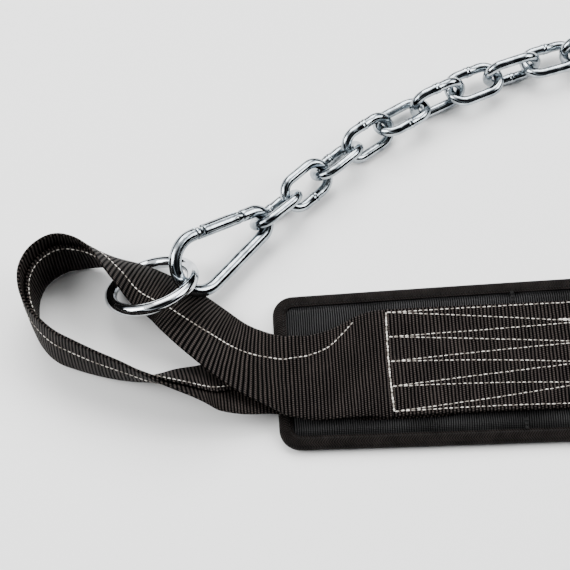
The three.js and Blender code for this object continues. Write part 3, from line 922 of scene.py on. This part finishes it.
def makeRing(name, node):
    size = ringSizes
    radius = (size["bore"] + size["wire"]) / 2
    bpy.ops.object.select_all(action="DESELECT")
    bpy.ops.mesh.primitive_torus_add(
        major_radius=radius, minor_radius=size["wire"] / 2, major_segments=120, minor_segments=32
    )
    ring = bpy.context.active_object
    weld = math.radians(size["weldAt"])
    for v in ring.data.vertices:
        angle = math.atan2(v.co.y, v.co.x) % (2 * math.pi)
        middle = Vector((math.cos(angle), math.sin(angle), 0)) * radius
        bead = math.exp(-(((angle - weld) * radius / size["beadWidth"]) ** 2))
        v.co = middle + (v.co - middle) * (1 + size["bead"] * bead)
    ring.matrix_world = nodeAxes(node)
    settle(ring, 60)
    dress(ring, name, nickelFinish, "steel", node)


makeRing("ringLeft", "left_ring")
makeRing("ringRight", "right_ring")
print("rings made")


# Wire work in edit mode: a circle of edges is run along straight stretches and bends.
def startWire(diameter, at, heading, sides=20):
    bpy.ops.object.select_all(action="DESELECT")
    bpy.ops.mesh.primitive_circle_add(
        vertices=sides,
        radius=diameter / 2,
        location=at,
        rotation=(math.pi / 2, 0, heading + math.pi / 2),
    )
    bpy.ops.object.transform_apply(location=True, rotation=True, scale=True)
    bpy.ops.object.mode_set(mode="EDIT")
    bpy.ops.mesh.select_all(action="SELECT")


def runWire(x, y, steps=1):
    for _ in range(steps):
        bpy.ops.mesh.extrude_region_move(
            TRANSFORM_OT_translate={"value": (x / steps, y / steps, 0)}
        )


def bendWire(centre, degrees, steps):
    # Spin counts its angle clockwise, and every bend here turns the other way.
    bpy.ops.mesh.spin(
        steps=steps, angle=-math.radians(degrees), center=(*centre, 0), axis=(0, 0, 1)
    )


def closeWire():
    bpy.ops.mesh.select_all(action="SELECT")
    bpy.ops.mesh.remove_doubles(threshold=1e-6)
    bpy.ops.mesh.fill_holes(sides=0)
    bpy.ops.mesh.select_all(action="SELECT")
    bpy.ops.mesh.normals_make_consistent(inside=False)
    bpy.ops.object.mode_set(mode="OBJECT")
    return bpy.context.active_object


# Snap hook, in its own plane: the wide bend is round the origin and the gate is on the +Y side.
hookSizes = {
    "wire": 8 * mm,
    "wideRadius": 17.5 * mm,
    "narrowRadius": 8.5 * mm,
    "apart": 46 * mm,
    "gateFrom": 2 * mm,
    "gateTo": 32 * mm,
    "gateWidth": 8.4 * mm,
    "plate": 2.6 * mm,
    "nose": 5 * mm,
    "pin": 2.6 * mm,
    "headLength": 2.4 * mm,
    "headDrop": 1.2 * mm,
    "rooting": 2 * mm,
    "running": 0.4 * mm,
    "at": Vector((-342.852, -21.732, 22.632)) * mm,
    "turn": Matrix(
        (
            (0.771899, -0.372898, 0.514898),
            (0.616199, 0.638128, -0.461618),
            (-0.156434, 0.673602, 0.72235),
        )
    ),
}


def gateLine(distance):
    size = hookSizes
    taper = math.asin((size["wideRadius"] - size["narrowRadius"]) / size["apart"])
    x = size["wideRadius"] * math.sin(taper) + distance * math.cos(taper)
    y = size["wideRadius"] * math.cos(taper) - distance * math.sin(taper)
    return x, y, taper


def hookPlace():
    return Matrix.Translation(hookSizes["at"]) @ hookSizes["turn"].to_4x4()


# A block on the gate's line, given by how far along, beside and above it reaches.
def gateBlock(x0, x1, y0, y1, z0, z1, rounding=0):
    ax, ay, taper = gateLine(0)
    bpy.ops.object.select_all(action="DESELECT")
    bpy.ops.mesh.primitive_cube_add(size=1)
    block = bpy.context.active_object
    block.scale = (x1 - x0, y1 - y0, z1 - z0)
    block.location = ((x0 + x1) / 2, (y0 + y1) / 2, (z0 + z1) / 2)
    bpy.ops.object.transform_apply(location=True, rotation=True, scale=True)
    if rounding:
        applyModifier(block, "BEVEL", width=rounding, segments=2)
    block.rotation_euler = (0, 0, -taper)
    block.location = (ax, ay, 0)
    bpy.ops.object.transform_apply(location=True, rotation=True, scale=True)
    return block


def combine(piece, others, how):
    for other in others:
        applyModifier(piece, "BOOLEAN", operation=how, object=other, solver="EXACT")
        bpy.data.objects.remove(other)


def makeHook():
    size = hookSizes
    cheek = size["gateWidth"] / 2
    bx, by, taper = gateLine(size["gateFrom"])
    heading = math.pi - taper
    startWire(size["wire"], (bx, by, 0), heading, 28)
    runWire(-size["gateFrom"] * math.cos(taper), size["gateFrom"] * math.sin(taper), 2)
    turnWide = 360 - 2 * (90 - math.degrees(taper))
    bendWire((0, 0), turnWide, 44)
    reach = size["apart"] * math.cos(taper)
    runWire(reach * math.cos(taper), reach * math.sin(taper), 12)
    bendWire((size["apart"], 0), 180 - 2 * math.degrees(taper), 30)
    fx, fy, _ = gateLine(size["gateTo"] + cheek + size["running"])
    ex, ey, _ = gateLine(reach)
    runWire(fx - ex, fy - ey, 4)
    body = closeWire()
    applyModifier(body, "BEVEL", width=0.5 * mm, segments=2, limit_method="ANGLE", angle_limit=1.0)
    plate = size["plate"] / 2
    noseTip = size["gateFrom"] + size["nose"]
    wide, side, tall = cheek * 0.7, size["wire"] * 0.38, size["wire"] * 0.41
    root, tip = size["gateTo"] - wide, size["gateTo"] + cheek + size["rooting"]
    tongue = gateBlock(root, tip, -wide, wide, -plate, plate, 0.3 * mm)
    nose = gateBlock(size["gateFrom"] - size["rooting"], noseTip, -side, side, -plate, plate, 0.2 * mm)
    neck = noseTip - size["headLength"]
    head = gateBlock(neck, noseTip, -size["headDrop"], side, -tall, tall, 0.3 * mm)
    combine(body, [tongue, nose, head], "UNION")
    body.matrix_world = hookPlace()
    settle(body, 35)
    dress(body, "hookBody", zincFinish, "zinc", "carabiner_body")


def gatePin(name, radius, length):
    x, y, _ = gateLine(hookSizes["gateTo"])
    bpy.ops.object.select_all(action="DESELECT")
    bpy.ops.mesh.primitive_cylinder_add(vertices=24, radius=radius, depth=length, location=(x, y, 0))
    pin = bpy.context.active_object
    bpy.ops.object.transform_apply(location=True, rotation=True, scale=True)
    pin.name = name
    return pin


def makeGate():
    size = hookSizes
    cheek = size["gateWidth"] / 2
    running = size["running"]
    slot = size["plate"] / 2 + running
    start = size["gateFrom"] + running
    end = size["gateTo"]
    far = size["gateWidth"]
    noseTip = size["gateFrom"] + size["nose"]
    ax, ay, taper = gateLine(start)
    startWire(size["gateWidth"], (ax, ay, 0), -taper, 32)
    length = end + cheek - start
    runWire(length * math.cos(taper), -length * math.sin(taper), 10)
    gate = closeWire()
    px, py, _ = gateLine(end)
    bpy.ops.object.select_all(action="DESELECT")
    bpy.ops.mesh.primitive_cylinder_add(
        vertices=48, radius=cheek, depth=far * 1.3, location=(px, py, 0)
    )
    roundEnd = bpy.context.active_object
    bpy.ops.object.transform_apply(location=True, rotation=True, scale=True)
    plan = gateBlock(start - 1 * mm, end, -far, far, -far, far)
    combine(roundEnd, [plan], "UNION")
    combine(gate, [roundEnd], "INTERSECT")
    neck, drop = noseTip - size["headLength"] - running, size["headDrop"] + running
    cuts = [
        gateBlock(start - 1 * mm, noseTip + 3 * running, -far, far, -slot, slot),
        gateBlock(neck, noseTip + 2 * running, -drop, far, -far, far),
        gateBlock(end - cheek - running, end + far, -far, far, -slot, slot),
        gatePin("hole", size["pin"] / 2 + 0.5 * mm, far * 2),
    ]
    combine(gate, cuts, "DIFFERENCE")
    applyModifier(gate, "BEVEL", width=0.22 * mm, segments=2, limit_method="ANGLE", angle_limit=0.8)
    gate.matrix_world = hookPlace()
    settle(gate, 35)
    dress(gate, "hookGate", zincFinish, "zinc", "carabiner_gate")
    # The rivet's ends are peened over into low domes.
    pin = gatePin("gateRivet", size["pin"] / 2, size["gateWidth"] + 0.2 * mm)
    applyModifier(pin, "BEVEL", width=0.35 * mm, segments=3, limit_method="ANGLE")
    pin.matrix_world = hookPlace()
    settle(pin, 40)
    dress(pin, "gateRivet", nickelFinish, "steel", "gate_pin")


makeHook()
makeGate()
print("snap hook made")

# Chain: round wire bent into links and resistance-welded, with a bead on one side of each.
linkSizes = {
    "wire": 6.3 * mm,
    "pitch": 27.6 * mm,
    "bore": 12.9 * mm,
    "bead": 1.13,
    "beadAt": (2.4 * mm, 1.5 * mm, 0.7 * mm, 0, -0.7 * mm, -1.5 * mm, -2.4 * mm),
}


def linkMesh():
    size = linkSizes
    radius = (size["bore"] + size["wire"]) / 2
    half = (size["pitch"] - size["bore"]) / 2
    startWire(size["wire"], (half, -radius, 0), 0, 20)
    bendWire((half, 0), 180, 18)
    stops = (half, *size["beadAt"], -half)
    for x0, x1 in zip(stops, stops[1:]):
        runWire(x1 - x0, 0)
    bendWire((-half, 0), 180, 18)
    runWire(2 * half, 0, 4)
    link = closeWire()
    for v in link.data.vertices:
        if v.co.y > 0 and abs(v.co.x) < 1.6 * mm:
            middle = Vector((v.co.x, radius, 0))
            swell = size["bead"] * random.uniform(0.97, 1.03) if abs(v.co.x) > 0.3 * mm else 1.02
            v.co = middle + (v.co - middle) * swell
    return link


def makeChain():
    link = linkMesh()
    names = sorted(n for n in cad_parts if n.startswith("chain_link"))
    copies = []
    for i, node in enumerate(names):
        copy = link.copy()
        copy.data = link.data.copy()
        bpy.context.scene.collection.objects.link(copy)
        flip = Matrix.Rotation(math.pi * (i % 3 == 1), 4, "X")
        copy.matrix_world = nodeAxes(node) @ flip
        copies.append(copy)
    bpy.data.objects.remove(link)
    bpy.ops.object.select_all(action="DESELECT")
    for copy in copies:
        copy.select_set(True)
    bpy.context.view_layer.objects.active = copies[0]
    bpy.ops.object.join()
    chain = copies[0]
    settle(chain, 50)
    dress(chain, "chain", zincFinish, "zinc", *names)


makeChain()
print("chain made")

# Floor, light and camera
stageSizes = {
    "floor": 12,
    "paper": "fbfbfa",
    "eye": Vector((-330.3, -640.5, 1324.4)) * mm,
    "aim": Vector((-291.0, 62.6, 0)) * mm,
    "lens": 152.8,
    "sensor": 36,
    "farthest": 100,
    "lightsAim": Vector((-0.2, 0, 0)),
    "worldStrength": 1.6,
    "horizon": [(0.3, "040506"), (0.5, "15171a"), (0.58, "c9cdd2"), (0.85, "ffffff")],
    "darkPatch": [(0.8, "ffffff"), (0.9, "1a1c1f"), (1, "0a0b0c")],
    "lights": {
        "skyPanel": {"at": (-0.3, 1.9, 2.3), "size": 2.2, "power": 130},
        "leftPanel": {"at": (-2.4, -0.2, 1.7), "size": 1.6, "power": 90},
        "rightPanel": {"at": (2.2, 0.2, 2.0), "size": 1.6, "power": 70},
    },
}


def makeStage():
    bpy.ops.object.select_all(action="DESELECT")
    bpy.ops.mesh.primitive_plane_add(size=stageSizes["floor"])
    floor = bpy.context.active_object
    floor.name = "floor"
    paper = {"Roughness": 0.9, "Base Color": linearColour(stageSizes["paper"])}
    floor.data.materials.append(startMaterial("paperSweep", paper)[0])
    for name, light in stageSizes["lights"].items():
        lamp = bpy.data.lights.new(name, "AREA")
        lamp.shape = "SQUARE"
        lamp.size = light["size"]
        lamp.energy = light["power"]
        lampObject = bpy.data.objects.new(name, lamp)
        lampObject.location = light["at"]
        aim = stageSizes["lightsAim"] - Vector(light["at"])
        lampObject.rotation_euler = aim.to_track_quat("-Z", "Y").to_euler()
        bpy.context.scene.collection.objects.link(lampObject)
    world = bpy.data.worlds.new("studio")
    bpy.context.scene.world = world
    world.use_nodes = True
    tree = world.node_tree
    background = tree.nodes["Background"]
    background.inputs["Strength"].default_value = stageSizes["worldStrength"]
    # Bright sides under a dark horizon and a dark patch where the camera stands, for contrast in
    # the metal: rods show black along the middle, between two white edges.
    place = addNode(tree, "ShaderNodeTexCoord").node.outputs["Generated"]
    split = addNode(tree, "ShaderNodeSeparateXYZ", links={0: place}).node
    height = split.outputs[2]
    turned = sums(tree, "ARCTAN2", split.outputs[1], split.outputs[0])
    flags = sums(tree, "MULTIPLY", sine(tree, turned, 3), 0.14)
    toEye = addNode(
        tree, "ShaderNodeVectorMath", {"operation": "DOT_PRODUCT", 1: (0.1, -0.5, 0.86)}, {0: place}
    )
    patch = ramp(tree, toEye.node.outputs["Value"], stageSizes["darkPatch"])
    graded = ramp(tree, sums(tree, "ADD", height, flags), stageSizes["horizon"])
    both = addNode(
        tree, "ShaderNodeVectorMath", {"operation": "MULTIPLY"}, {0: graded, 1: patch}
    )
    tree.links.new(both, background.inputs["Color"])
    eye = bpy.data.cameras.new("eye")
    eye.lens = stageSizes["lens"]
    eye.sensor_width = stageSizes["sensor"]
    camera = bpy.data.objects.new("eye", eye)
    bpy.context.scene.collection.objects.link(camera)
    camera.location = stageSizes["eye"] + beltShift
    look = stageSizes["aim"] - stageSizes["eye"]
    camera.rotation_euler = look.to_track_quat("-Z", "Y").to_euler()
    eye.clip_end = stageSizes["farthest"]
    bpy.context.scene.camera = camera


makeStage()
print("stage ready")
